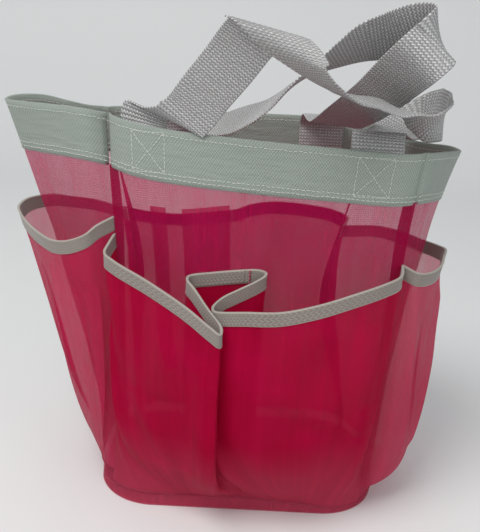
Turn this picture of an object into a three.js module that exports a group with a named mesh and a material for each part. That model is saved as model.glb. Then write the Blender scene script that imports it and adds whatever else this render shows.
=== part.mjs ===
// Soft mesh shower tote: sheer mesh walls and base, a folded cloth hem round the open top, six outer
// pockets with elastic bindings, and two webbing handles sewn to the hem. Millimetres, +Z up.
// Origin: on the base near its centre, on the surface it stands on. The front faces -Y, +X is to the right.

import * as THREE from 'three';

// Driving dimensions.
const BASE_WIDTH = 235;
const BASE_DEPTH = 152;
const BASE_RADIUS = 48;
const BASE_MIDDLE = -2.5;
const BASE_THICKNESS = 1.6;
const MESH_THICKNESS = 1.4;
const HEM_HEIGHT = 38;
const HEM_THICKNESS = 4;
const ELASTIC_HEIGHT = 10.5;
const ELASTIC_THICKNESS = 3;
const SEAM_LINE_HEIGHT = 12;
const WEBBING_WIDTH = 38;
const WEBBING_THICKNESS = 1.6;
const SEWN_LENGTH = 34;
const SEWN_DROP = 3;
const MOST_SLANT = 1.4;
const HEM_OVERLAP = 10;
const ELASTIC_OVERLAP = 6;
const FOLD = 1;
const SIDE_INSET = 0.005;
const CORNER_CURVE = 2;
const STITCH_BOX_WIDTH = 26;
const STITCH_BOX_HEIGHT = 29;
const THREAD_DIAMETER = 1;
const SEAM_ALLOWANCE = 8;
const SEAM_START = 3.4;
const GAP = 0.35;
const CORNER_STEPS = 10;
const SLOPE_STEP = 0.01;
const PANEL_INSET = 1;
const POCKET_ROUNDING = 1.2;
const PUFF_SHAPE = 0.55;
const SEAM_CLEARANCE = 2;
const FRONT_ENDS = [0.165, 0.845];
const BACK_ENDS = [0.19, 0.72];

// The open top: corners and shape of each hem side, from its left end to its right end seen from outside.
const TOP = {
  front: [[-114, -26, 314], [-103, -39, 313], [-88, -47, 311], [-66, -52, 309], [-28, -57, 307],
    [20, -61, 305], [66, -65, 304], [104, -67, 303], [121, -61, 303]],
  right: [[124, -58, 303], [136, -47, 302], [149, -31, 300], [157, -14, 298], [153, 6, 297],
    [139, 24, 295], [120, 40, 296], [106, 58, 301], [101, 68, 303]],
  back: [[98, 71, 303], [80, 74, 304], [40, 75, 304], [0, 73, 304], [-50, 70, 304],
    [-90, 67, 305], [-118, 61, 306], [-128, 58, 306]],
  left: [[-132, 55, 306], [-143, 46, 308], [-157, 37, 312], [-178, 31, 317], [-196, 18, 318], [-200, 2, 317],
    [-184, -8, 317], [-156, -22, 318], [-131, -33, 318], [-121, -31, 316], [-117, -28, 315]],
};

// How late each wall flares out on its way up: 1 is straight.
const WALL_CURVE = { front: 2, right: 2.2, back: 2, left: 1.3 };

// How far the soft corners sag sideways half way up, in x and y.
const SLUMP = { front_left: [5, 3], front_right: [5, 3], back_right: [-26, -2], back_left: [8, -2] };

// How each pocket fills out above its bottom seam: share of its height it takes, its extra puff, and how
// its cloth crowds towards the start and the end of its span.
const FULLNESS = {
  front_left: [0.25, 4, 1, 2.5],
  front_right: [0.25, 4, 2.5, 1],
  right: [0.07, 14, 1, 1],
  back_right: [0.25, 4, 1, 1],
  back_left: [0.25, 4, 1, 1],
  left: [0.2, 1, 1, 1],
};

// Pocket mouths: plan points and heights of each elastic's top edge, seen from outside, left to right.
const MOUTH = {
  front_left: [[-107, -45, 225], [-110, -53, 221], [-112, -62, 216], [-104, -71, 213], [-76, -87, 204],
    [-47, -102.5, 192], [-28, -114.3, 182.2], [-20.5, -117.8, 178.6], [-20.3, -111, 181.5],
    [-30.5, -103, 191.5], [-41, -93, 202], [-47.5, -80, 204.5], [-46, -72.5, 205], [-28, -70, 207.5],
    [-6, -70, 210.5]],
  front_right: [[-3.5, -70, 211], [4, -70.5, 211.5], [10, -73, 211], [10.5, -77, 210], [4, -82.5, 207],
    [-9, -89, 202], [-21, -93.5, 196.5], [-27, -97.5, 191], [-26, -101.5, 189.5], [-19, -105.5, 190.5],
    [-4, -109.5, 193], [22, -111, 195], [48, -109, 201], [74, -102, 208], [98, -90, 213], [110, -79, 215],
    [114, -68, 217]],
  right: [[118, -64, 217], [126, -65, 213.5], [138, -57, 212], [148, -43, 213], [153, -28, 215],
    [157, -14, 217], [154, -2, 216], [145, 18, 214], [131, 42, 213], [113, 62, 211], [98, 72, 209]],
  back_right: [[96, 75, 207], [88, 83, 212], [76, 90, 216], [50, 97, 218], [20, 97, 219],
    [-2, 90, 217], [-14, 83, 214], [-18, 82, 213]],
  back_left: [[-20.5, 82, 213], [-32, 86, 210], [-50, 94, 205], [-70, 98, 202], [-92, 96, 203],
    [-108, 86, 208], [-120, 72, 214], [-122, 68, 215]],
  left: [[-129, 64, 216], [-142, 62, 222], [-160, 54, 226], [-176, 44, 230], [-187, 32, 231],
    [-193, 20, 231], [-195, 6, 229], [-190, -8, 227], [-181, -22, 224], [-169, -36, 221],
    [-155, -48, 219], [-141, -56, 222], [-127.5, -57.4, 228], [-120, -51.6, 233.5], [-115.2, -43, 238]],
};

// Webbing paths: centre of the strap, the direction from its first edge to its second, and any slant.
const HANDLE_FRONT = [
  [-83, -43.5, 316, 1, -0.2, -0.1], [-80, -41, 322, 0.95, 0, -0.25], [-68, -42, 321, 0.9, 0, -0.4],
  [-56, -51, 324, 0.85, 0, -0.45], [-43, -66, 338, 0.8, -0.1, -0.5], [-24, -83, 361, 0.8, 0, -0.6],
  [-9, -93, 381, 0.9, 0, -0.36, 0.6], [-1, -99, 387, 0.97, 0, -0.22, 1],
  [6, -106, 384, 0.97, -0.1, -0.22, 1], [19, -109, 371, 0.85, -0.4, -0.2, 0.8],
  [37, -102, 356, 0.3, -0.9, 0.1], [55, -90, 345, 0.1, -1, 0.05], [71, -76, 340, 0, -1, 0],
  [89, -66, 336, 0, -1, -0.1], [105, -60, 332, -0.1, -1, 0.2], [118, -55, 327, -0.1, -0.85, 0.5],
  [128, -49, 325, 0, -0.7, 0.7], [135, -37, 326, 0.05, -0.4, 0.88], [138, -21, 326, -0.05, 0.35, 0.9],
  [134, -5, 324, 0, 0.65, 0.7], [127, 5, 319, -0.15, 0.75, 0.6], [116, 3, 312, -0.35, 0.8, 0.4],
  [104, -12, 308, -0.7, 0.65, 0.1], [93, -33, 311, -0.92, 0.3, 0], [87, -51, 314, -1, 0.05, 0],
  [86, -60.5, 304, -1, 0, 0],
];
const HANDLE_BACK = [
  [-66, 64, 307, 1, 0, 0], [-64, 58, 311, 0.95, 0.2, 0], [-54, 46, 306, 0.6, 0.7, 0],
  [-37, 32, 302, 0.15, 1, 0.3], [-19, 17, 307, 0.1, 1, 0.35], [-3, 1, 316, 0.15, 1, 0.25],
  [11, -11, 328, 0.1, 1, 0.1], [23, -20, 341, 0.1, 1, -0.05], [37, -27, 353, 0.1, 0.95, -0.25],
  [56, -30, 366, 0.15, 0.8, -0.5], [73, -31, 378, 0.25, 0.6, -0.7], [93, -33, 386, 0.3, 0.4, -0.85],
  [110, -42, 390, 0.3, 0.25, -0.9], [119, -56, 387, 0.3, 0, -0.95], [117, -67, 381, 0.5, -0.1, -0.85],
  [107, -67, 370, 0.7, -0.15, -0.7], [98, -53, 357, 0.82, -0.1, -0.55], [87, -27, 338, 0.9, 0, -0.4],
  [72, 4, 318, 0.95, 0, -0.25], [62, 32, 306, 1, 0, -0.1], [57, 54, 309, 1, 0, 0], [56, 66, 312, 1, 0, 0],
  [56, 71, 304, 1, 0, 0],
];

const COLOURS = {
  mesh: [0x9c1440, 0.75],
  hem: [0x97a59e, 0.85],
  elastic: [0x9b9b92, 0.8],
  webbing: [0x8f9090, 0.55],
  thread: [0xc9d0c8, 0.5],
};

const UP = new THREE.Vector3(0, 0, 1);
const group = new THREE.Group();

function add(name, geometry, look) {
  const [color, roughness] = COLOURS[look];
  const material = new THREE.MeshStandardMaterial({ color, roughness, metalness: 0 });
  const mesh = new THREE.Mesh(geometry, material);
  mesh.name = name;
  group.add(mesh);
}

// Moves every vertex of a closed geometry to place(x, y, z), so the solid stays closed.
function remap(geometry, place) {
  const position = geometry.attributes.position;
  for (let i = 0; i < position.count; i += 1) {
    const p = place(position.getX(i), position.getY(i), position.getZ(i));
    position.setXYZ(i, p.x, p.y, p.z);
  }
  geometry.computeVertexNormals();
  return geometry;
}

function curveOf(points) {
  return new THREE.CatmullRomCurve3(points.map((p) => new THREE.Vector3(...p)), false, 'centripetal');
}

// Walks round the base outline: side is 0 front, 1 right, 2 back, 3 left, and s runs along that side.
function basePoint(side, s, inset = 0) {
  const along = (side % 2 ? BASE_DEPTH : BASE_WIDTH) / 2 - inset;
  const away = (side % 2 ? BASE_WIDTH : BASE_DEPTH) / 2 - inset;
  const radius = BASE_RADIUS - inset;
  const arc = (radius * Math.PI) / 4;
  const straight = 2 * (along - radius);
  const total = straight + 2 * arc;
  const d = s * total;
  let u = d - arc - straight / 2;
  let v = away;
  if (d < arc || d > arc + straight) {
    const sign = d < arc ? -1 : 1;
    const angle = (sign < 0 ? arc - d : d - arc - straight) / radius;
    u = sign * (straight / 2 + radius * Math.sin(angle));
    v = away - radius * (1 - Math.cos(angle));
  }
  const p = new THREE.Vector3(u, -v, 0).applyAxisAngle(UP, (side * Math.PI) / 2);
  p.x += BASE_MIDDLE;
  return p;
}

const SIDES = ['front', 'right', 'back', 'left'];
const CORNERS = ['front_right', 'back_right', 'back_left', 'front_left'];
const topCurves = Object.fromEntries(SIDES.map((side) => [side, curveOf(TOP[side])]));

// A wall follows the base outline at the bottom and the hem's shape at the top, and its corners sag.
function wallPoint(side, s, z) {
  const top = topCurves[side].getPointAt(s);
  const index = SIDES.indexOf(side);
  const low = basePoint(index, s, PANEL_INSET);
  const rise = THREE.MathUtils.clamp(z / top.z, 0, 1);
  const blend = rise ** (CORNER_CURVE + (WALL_CURVE[side] - CORNER_CURVE) * Math.sin(Math.PI * s));
  const sag = Math.sin(Math.PI * rise) ** 2;
  const first = SLUMP[CORNERS[(index + 3) % 4]];
  const last = SLUMP[CORNERS[index]];
  const nearFirst = sag * Math.max(0, 1 - 2 * s) ** 2;
  const nearLast = sag * Math.max(0, 2 * s - 1) ** 2;
  const x = low.x + (top.x - low.x) * blend + first[0] * nearFirst + last[0] * nearLast;
  const y = low.y + (top.y - low.y) * blend + first[1] * nearFirst + last[1] * nearLast;
  return new THREE.Vector3(x, y, z);
}

// Horizontal direction pointing out of the bag at a point of a wall.
function wallOut(side, s, z) {
  const a = wallPoint(side, Math.max(0, s - SLOPE_STEP), z);
  const b = wallPoint(side, Math.min(1, s + SLOPE_STEP), z);
  return new THREE.Vector3(b.y - a.y, a.x - b.x, 0).normalize();
}

// A sheet of even thickness whose middle surface is surface(s, h), with side(s, h) pointing out of the bag.
function sheet(name, surface, side, thickness, columns, rows) {
  const box = new THREE.BoxGeometry(1, 1, 1, columns, 1, rows);
  add(name, remap(box, (x, y, z) => {
    const s = x + 0.5;
    const h = z + 0.5;
    return surface(s, h).addScaledVector(side(s, h), -y * thickness);
  }), 'mesh');
}

// A folded band: an upside-down U profile, open below, that holds the top edge of a sheet in its slot.
function band(name, surface, side, height, thickness, overlap, steps, look) {
  const half = thickness / 2;
  const slot = MESH_THICKNESS / 2 + GAP;
  const u = new THREE.Shape();
  u.moveTo(-half, -height);
  u.lineTo(-half, -FOLD);
  u.lineTo(-slot, 0);
  u.lineTo(slot, 0);
  u.lineTo(half, -FOLD);
  u.lineTo(half, -height);
  u.lineTo(slot, -height);
  u.lineTo(slot, -height + overlap + GAP);
  u.lineTo(-slot, -height + overlap + GAP);
  u.lineTo(-slot, -height);
  const swept = new THREE.ExtrudeGeometry(u, { depth: 1, steps, bevelEnabled: false });
  add(name, remap(swept, (x, y, z) => surface(1 - z, y).addScaledVector(side(1 - z, y), x)), look);
}

// Height of a sheet's row: every row but the last lies below the band, and the last is tucked into it.
function tuckedHeight(low, bandFoot, overlap, h, rows) {
  const share = 1 - 1 / rows;
  return h <= share ? low + (h / share) * (bandFoot - low) : bandFoot + ((h - share) / (1 - share)) * overlap;
}

function buildWall(side, columns, rows) {
  const top = topCurves[side];
  const inset = (s) => SIDE_INSET + s * (1 - 2 * SIDE_INSET);
  const foot = (s) => top.getPointAt(s).z - HEM_HEIGHT;
  const height = (s, h) => tuckedHeight(BASE_THICKNESS + GAP, foot(s), HEM_OVERLAP, h, rows);
  sheet(
    `panel_${side}`,
    (s, h) => wallPoint(side, inset(s), height(inset(s), h)),
    (s, h) => wallOut(side, inset(s), height(inset(s), h)),
    MESH_THICKNESS,
    columns,
    rows,
  );
  band(
    `hem_${side}`,
    (s, y) => wallPoint(side, inset(s), top.getPointAt(inset(s)).z + y),
    (s, y) => wallOut(side, inset(s), top.getPointAt(inset(s)).z + y),
    HEM_HEIGHT,
    HEM_THICKNESS,
    HEM_OVERLAP,
    columns,
    'hem',
  );
}

// A pocket hangs from its mouth and closes onto the wall at the seam line: it stands off the wall by the
// mouth's own stand-off, eased down to nothing at the bottom, and puffs out a little on the way.
function buildPocket(name, side, s0, s1, columns, rows) {
  const mouth = curveOf(MOUTH[name]);
  const [fill, puff, crowdStart, crowdEnd] = FULLNESS[name];
  const along = (t) => s0 + (s1 - s0) * (1 - (1 - t ** crowdStart) ** crowdEnd);
  const standOff = (t) => {
    const lip = mouth.getPoint(t);
    return lip.sub(wallPoint(side, along(t), lip.z));
  };
  const foot = (t) => mouth.getPoint(t).z - ELASTIC_HEIGHT;
  const point = (t, z) => {
    const h = THREE.MathUtils.clamp((z - SEAM_LINE_HEIGHT) / (foot(t) - SEAM_LINE_HEIGHT), 0, 1);
    const ease = (Math.tanh(h / fill) / Math.tanh(1 / fill)) ** POCKET_ROUNDING;
    const swell = puff * Math.sin(Math.PI * h ** PUFF_SHAPE) * Math.sin(Math.PI * t);
    const p = wallPoint(side, along(t), z);
    p.addScaledVector(wallOut(side, along(t), z), (MESH_THICKNESS + 2 * GAP) * (1 - ease) + swell);
    return p.addScaledVector(standOff(t), ease);
  };
  const out = (t, z) => {
    const a = point(Math.max(0, t - SLOPE_STEP), z);
    const b = point(Math.min(1, t + SLOPE_STEP), z);
    return new THREE.Vector3(b.y - a.y, a.x - b.x, 0).normalize();
  };
  const height = (t, h) => tuckedHeight(SEAM_LINE_HEIGHT, foot(t), ELASTIC_OVERLAP, h, rows);
  sheet(
    `pocket_${name}`,
    (t, h) => point(t, height(t, h)),
    (t, h) => out(t, height(t, h)),
    MESH_THICKNESS,
    columns,
    rows,
  );
  band(
    `elastic_${name}`,
    (t, y) => point(t, mouth.getPoint(t).z + y),
    (t, y) => out(t, mouth.getPoint(t).z + y),
    ELASTIC_HEIGHT,
    ELASTIC_THICKNESS,
    ELASTIC_OVERLAP,
    columns,
    'elastic',
  );
}

// A flat strap along a path of centres and width directions. At a fold a path point also says how far the
// strap's rulings slant to follow that direction.
function strap(name, path, steps) {
  const centre = curveOf(path.map((p) => p.slice(0, 3)));
  const across = curveOf(path.map((p) => p.slice(3, 6)));
  const slants = path.map((p) => p[6] ?? 0);
  const box = new THREE.BoxGeometry(1, 1, 1, 2, 1, steps);
  add(name, remap(box, (x, y, z) => {
    const t = z + 0.5;
    const p = centre.getPoint(t);
    const along = centre.getTangent(t);
    const want = across.getPoint(t).normalize();
    const width = want.clone().addScaledVector(along, -want.dot(along));
    const size = width.length();
    width.divideScalar(size);
    const face = new THREE.Vector3().crossVectors(along, width);
    const place = Math.min(t * (path.length - 1), path.length - 1.001);
    const first = Math.floor(place);
    const slant = THREE.MathUtils.lerp(slants[first], slants[first + 1], place - first);
    width.lerp(want.multiplyScalar(Math.min(1 / size, MOST_SLANT)), slant);
    p.addScaledVector(width, x * WEBBING_WIDTH);
    return p.addScaledVector(face, y * WEBBING_THICKNESS);
  }), 'webbing');
}

// Base and walls.
const outline = [];
for (let side = 0; side < SIDES.length; side += 1) {
  for (let i = 0; i < CORNER_STEPS; i += 1) {
    const p = basePoint(side, i / CORNER_STEPS);
    outline.push(new THREE.Vector2(p.x, p.y));
  }
}
const baseDepth = { depth: BASE_THICKNESS, bevelEnabled: false };
add('base_panel', new THREE.ExtrudeGeometry(new THREE.Shape(outline), baseDepth), 'mesh');

buildWall('front', 18, 8);
buildWall('right', 14, 8);
buildWall('back', 14, 8);
buildWall('left', 20, 8);

// Pockets: two on the front and the back, one on each side.
buildPocket('front_left', 'front', 0.012, 0.488, 28, 6);
buildPocket('front_right', 'front', 0.512, 0.988, 28, 6);
buildPocket('right', 'right', 0.02, 0.98, 16, 6);
buildPocket('back_right', 'back', 0.012, 0.488, 14, 6);
buildPocket('back_left', 'back', 0.512, 0.988, 14, 6);
buildPocket('left', 'left', 0.02, 0.98, 20, 6);

// Seam allowances that stand inwards at the four corners, below the hem.
SIDES.forEach((side, i) => {
  const next = SIDES[(i + 1) % 4];
  const corner = (z) => wallPoint(side, 1, z).add(wallPoint(next, 0, z)).multiplyScalar(0.5);
  const inward = (z) => wallOut(side, 1, z).add(wallOut(next, 0, z)).normalize().negate();
  const high = topCurves[side].getPointAt(1).z - HEM_HEIGHT - SEAM_CLEARANCE;
  const box = new THREE.BoxGeometry(1, 1, 1, 1, 1, 8);
  add(`corner_seam_${CORNERS[i]}`, remap(box, (x, y, z) => {
    const height = SEAM_LINE_HEIGHT + (z + 0.5) * (high - SEAM_LINE_HEIGHT);
    const inside = inward(height);
    const across = new THREE.Vector3(-inside.y, inside.x, 0);
    const p = corner(height).addScaledVector(inside, SEAM_START + (x + 0.5) * SEAM_ALLOWANCE);
    return p.addScaledVector(across, y * MESH_THICKNESS);
  }), 'mesh');
});

// Where the handles are sewn: the webbing's ends inside the hem and a crossed box of thread outside it.
function sewnEnd(name, side, s) {
  const curve = topCurves[side];
  const width = curve.getLength();
  const surface = (x, z, off) => {
    const at = s + x / width;
    const height = curve.getPointAt(s).z + z;
    return wallPoint(side, at, height).addScaledVector(wallOut(side, at, height), off);
  };
  const strip = new THREE.BoxGeometry(WEBBING_WIDTH, 1, 1, 8, 1, 3);
  const inside = -HEM_THICKNESS / 2 - 3 * GAP - WEBBING_THICKNESS / 2;
  add(`webbing_end_${name}`, remap(strip, (x, y, z) => (
    surface(x, (z - 0.5) * SEWN_LENGTH - SEWN_DROP, inside - y * WEBBING_THICKNESS)
  )), 'webbing');
  add(`stitch_box_${name}`, remap(crossedBox(), (x, y, z) => (
    surface(x, y - HEM_HEIGHT / 2 - 1, HEM_THICKNESS / 2 + 3 * GAP + z)
  )), 'thread');
}

// A rectangle of thread with both diagonals, as one flat frame with four triangular holes.
function crossedBox() {
  const w = STITCH_BOX_WIDTH / 2;
  const h = STITCH_BOX_HEIGHT / 2;
  const t = THREAD_DIAMETER;
  const frame = new THREE.Shape();
  const ring = [[-w, -h], [0, -h], [w, -h], [w, 0], [w, h], [0, h], [-w, h], [-w, 0]];
  ring.forEach(([x, y], i) => (i ? frame.lineTo(x, y) : frame.moveTo(x, y)));
  const hole = (points) => frame.holes.push(new THREE.Path(points.map((p) => new THREE.Vector2(...p))));
  hole([[-w + 2 * t, -h + t], [0, -t], [w - 2 * t, -h + t]]);
  hole([[w - t, -h + 2 * t], [t, 0], [w - t, h - 2 * t]]);
  hole([[w - 2 * t, h - t], [0, t], [-w + 2 * t, h - t]]);
  hole([[-w + t, h - 2 * t], [-t, 0], [-w + t, -h + 2 * t]]);
  return new THREE.ExtrudeGeometry(frame, { depth: THREAD_DIAMETER, bevelEnabled: false });
}

sewnEnd('front_left', 'front', FRONT_ENDS[0]);
sewnEnd('front_right', 'front', FRONT_ENDS[1]);
sewnEnd('back_right', 'back', BACK_ENDS[0]);
sewnEnd('back_left', 'back', BACK_ENDS[1]);

strap('handle_front', HANDLE_FRONT, 60);
strap('handle_back', HANDLE_BACK, 54);

export default group;
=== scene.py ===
"""Soft mesh shower tote: sheer mesh walls, a stitched cloth hem, six elastic-topped pockets and two
woven carrying straps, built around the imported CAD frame. Tables are in millimetres, +Z up, front at -Y."""

import math

import bpy
import numpy as np
from mathutils import Matrix


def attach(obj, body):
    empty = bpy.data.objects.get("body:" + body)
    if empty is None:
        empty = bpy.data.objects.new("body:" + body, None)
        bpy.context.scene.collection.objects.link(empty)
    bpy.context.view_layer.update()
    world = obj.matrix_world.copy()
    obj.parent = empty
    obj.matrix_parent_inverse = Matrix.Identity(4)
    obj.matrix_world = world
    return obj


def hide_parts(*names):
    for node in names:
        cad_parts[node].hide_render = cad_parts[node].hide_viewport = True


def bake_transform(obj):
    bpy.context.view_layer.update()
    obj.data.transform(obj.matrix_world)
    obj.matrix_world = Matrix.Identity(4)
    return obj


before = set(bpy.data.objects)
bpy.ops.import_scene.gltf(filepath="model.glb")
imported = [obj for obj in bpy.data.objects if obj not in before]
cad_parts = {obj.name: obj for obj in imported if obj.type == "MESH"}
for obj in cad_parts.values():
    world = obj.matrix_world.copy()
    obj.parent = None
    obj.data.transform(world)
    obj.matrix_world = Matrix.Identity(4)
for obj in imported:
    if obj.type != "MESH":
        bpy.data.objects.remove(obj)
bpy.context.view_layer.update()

MM = 0.001

# The driving sizes, in mm, as in the CAD part, but for a strap that is a little thinner and is sewn in a
# little less. BASE_LIFT is the middle of the base's cloth.
BASE_WIDTH = 235
BASE_DEPTH = 152
BASE_RADIUS = 48
BASE_MIDDLE = -2.5
BASE_LIFT = 0.8
HEM_HEIGHT = 38
ELASTIC_HEIGHT = 10.5
SEAM_LINE_HEIGHT = 12
WEBBING_WIDTH = 38
WEBBING_THICKNESS = 1.5
SEWN_LENGTH = 33
STITCH_BOX_WIDTH = 26
STITCH_BOX_HEIGHT = 29
CORNER_CURVE = 2
POCKET_ROUNDING = 1.2
PUFF_SHAPE = 0.55
MOST_SLANT = 1.4

# Smaller sizes: how far cloth reaches up inside its hem or elastic, then the hem, elastic, pleats, the dark
# sheets inside the back elastics, corner seams, turned-up edge and piping.
PANEL_OVERLAP = 1.5
POCKET_OVERLAP = 5
HEM_HALF_THICKNESS = 0.95
HEM_PINCH = 2.6
PINCH_REACH = 3
ELASTIC_HALF_THICKNESS = 0.8
TUCK_FOOT = 40
TUCK_DEPTH = 1.9
DARK_SHEET_DEPTH = 1.2
SEAM_WIDTH = 9.5
SEAM_FOOT = 3
SEAM_CURL = 3
SKIRT_HEIGHT = 11
SKIRT_FOOT = 0.4
SKIRT_STAND_OFF = 0.7
PIPING_RADIUS = 0.7
FOOT_RADIUS = 0.7

# Stitches: radius of the thread, and how far the rows lie off the middle of the hem.
STITCH_RADIUS = 0.36
STITCH_STAND_OFF = 1.0
TACK_RADIUS = 0.7

# How much hanging cloth undulates, and how near its fixed edges the folds fade out.
WALL_RIPPLE = 1.2
POCKET_RIPPLE = 1.4
FOOT_RIPPLE = 1.2
WALL_FADE = 40
POCKET_FADE = 30

# The raised cells of the webbing.
WEAVE_PITCH = 2.6
WEAVE_DEPTH = 0.42
ZIGZAG_SLOPE = 0.9

SIDES = ["front", "right", "back", "left"]
SIDE_CORNERS = {
    "front": ("front_left", "front_right"), "right": ("front_right", "back_right"),
    "back": ("back_right", "back_left"), "left": ("back_left", "front_left"),
}

# The outlines from here to HANDLE began as places picked on the photograph, which scratch scripts turned
# into millimetres. They were then changed, and may no longer agree closely with those places.

# The open top: shape of each hem side, from its left end to its right end seen from outside.
# The corners are shared by the two sides that meet there.
CORNER = {
    "front_left": (-115.5, -27, 314.5),
    "front_right": (122.5, -59.5, 303),
    "back_right": (99.5, 69.5, 303),
    "back_left": (-130, 56.5, 306),
}
TOP = {
    "front": [CORNER["front_left"], (-103, -39, 313), (-88, -47, 311), (-66, -52, 309), (-28, -57, 307),
              (20, -61, 305), (66, -65, 304), (104, -67, 303), CORNER["front_right"]],
    "right": [CORNER["front_right"], (136, -47, 302), (149, -31, 300), (157, -14, 298), (153, 6, 297),
              (139, 24, 295), (120, 40, 296), (106, 58, 301), CORNER["back_right"]],
    "back": [CORNER["back_right"], (80, 74, 304), (40, 75, 304), (0, 73, 304), (-50, 70, 304),
             (-90, 67, 305), (-118, 61, 306), CORNER["back_left"]],
    "left": [CORNER["back_left"], (-143, 46, 308), (-157, 37, 312), (-178, 31, 317), (-196, 18, 318),
             (-200, 2, 317), (-184, -8, 317), (-156, -22, 318), (-131, -33, 318), CORNER["front_left"]],
}

# How late each wall flares out on its way up: 1 is straight.
WALL_CURVE = {"front": 2, "right": 2.2, "back": 2, "left": 1.3}
# How far the soft corners sag sideways half way up, in x and y.
SLUMP = {"front_left": (5, 3), "front_right": (5, 3), "back_right": (-26, -2), "back_left": (8, -2)}

# Pocket mouths: the top edge of each elastic, seen from outside, left to right.
MOUTH = {
    "front_left": [(-107, -45, 225), (-110, -53, 221), (-112, -62, 216), (-104, -71, 213),
                   (-76, -87, 204), (-47, -102.5, 192), (-28, -114.3, 182.2), (-20.5, -117.8, 178.6),
                   (-20.3, -111, 181.5), (-30.5, -103, 191.5), (-41, -93, 202), (-47.5, -80, 204.5),
                   (-46, -72.5, 205), (-28, -70, 207.5), (-6, -70, 210.5)],
    "front_right": [(-3.5, -70, 211), (4, -70.5, 211.5), (10, -73, 211), (10.5, -77, 210),
                    (4, -82.5, 207), (-9, -89, 202), (-21, -93.5, 196.5), (-27, -97.5, 191),
                    (-26, -101.5, 189.5), (-19, -105.5, 190.5), (-4, -109.5, 193), (22, -111, 195),
                    (48, -109, 201), (74, -102, 208), (98, -90, 213), (110, -79, 215), (114, -68, 217)],
    "right": [(118, -64, 217), (126, -65, 213.5), (138, -57, 212), (148, -43, 213), (153, -28, 215),
              (157, -14, 217), (154, -2, 216), (145, 18, 214), (131, 42, 213), (113, 62, 211), (98, 72, 209)],
    "back_right": [(96, 75, 207), (88, 83, 212), (76, 90, 216), (50, 97, 218), (20, 97, 219),
                   (-2, 90, 217), (-14, 83, 214), (-18, 82, 213)],
    "back_left": [(-20.5, 82, 213), (-32, 86, 210), (-50, 94, 205), (-70, 98, 202), (-92, 96, 203),
                  (-108, 86, 208), (-120, 72, 214), (-122, 68, 215)],
    "left": [(-129, 64, 216), (-142, 62, 222), (-160, 54, 226), (-176, 44, 230), (-187, 32, 231),
             (-193, 20, 231), (-195, 6, 229), (-190, -8, 227), (-181, -22, 224), (-169, -36, 221),
             (-155, -48, 219), (-141, -56, 222), (-127.5, -57.4, 228), (-120, -51.6, 233.5),
             (-115.2, -43, 238)],
}
# How each pocket fills out above its bottom seam: share of its height it takes, its extra puff, and how
# its cloth crowds towards the start and the end of its span.
FULLNESS = {
    "front_left": (0.25, 4, 1, 2.5), "front_right": (0.25, 4, 2.5, 1), "right": (0.07, 14, 1, 1),
    "back_right": (0.25, 4, 1, 1), "back_left": (0.25, 4, 1, 1), "left": (0.2, 1, 1, 1),
}
POCKET_SPAN = {
    "front_left": ("front", 0, 0.5), "front_right": ("front", 0.5, 1), "right": ("right", 0, 1),
    "back_right": ("back", 0, 0.5), "back_left": ("back", 0.5, 1), "left": ("left", 0, 1),
}

# Paired pockets meet where their neighbouring ends are tacked together.
PAIRS = {"front": ("front_left", "front_right"), "back": ("back_right", "back_left")}
for first, second in PAIRS.values():
    meeting = tuple((a + b) / 2 for a, b in zip(MOUTH[first][-1], MOUTH[second][0]))
    MOUTH[first][-1] = MOUTH[second][0] = meeting
# Height of each pocket's lower seam at its two ends.
FOOT_LINE = {
    "front_left": (13, 15), "front_right": (14, 4), "right": (6, 12),
    "back_right": (12, 12), "back_left": (12, 12), "left": (14, 24),
}
# Pleats in the back pockets: pocket, where each starts and ends along the mouth, and how far it stands above.
TUCKS = {"wide": ("back_left", 0.01, 0.385, 5), "narrow": ("back_left", 0.5, 0.62, 6)}

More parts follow.
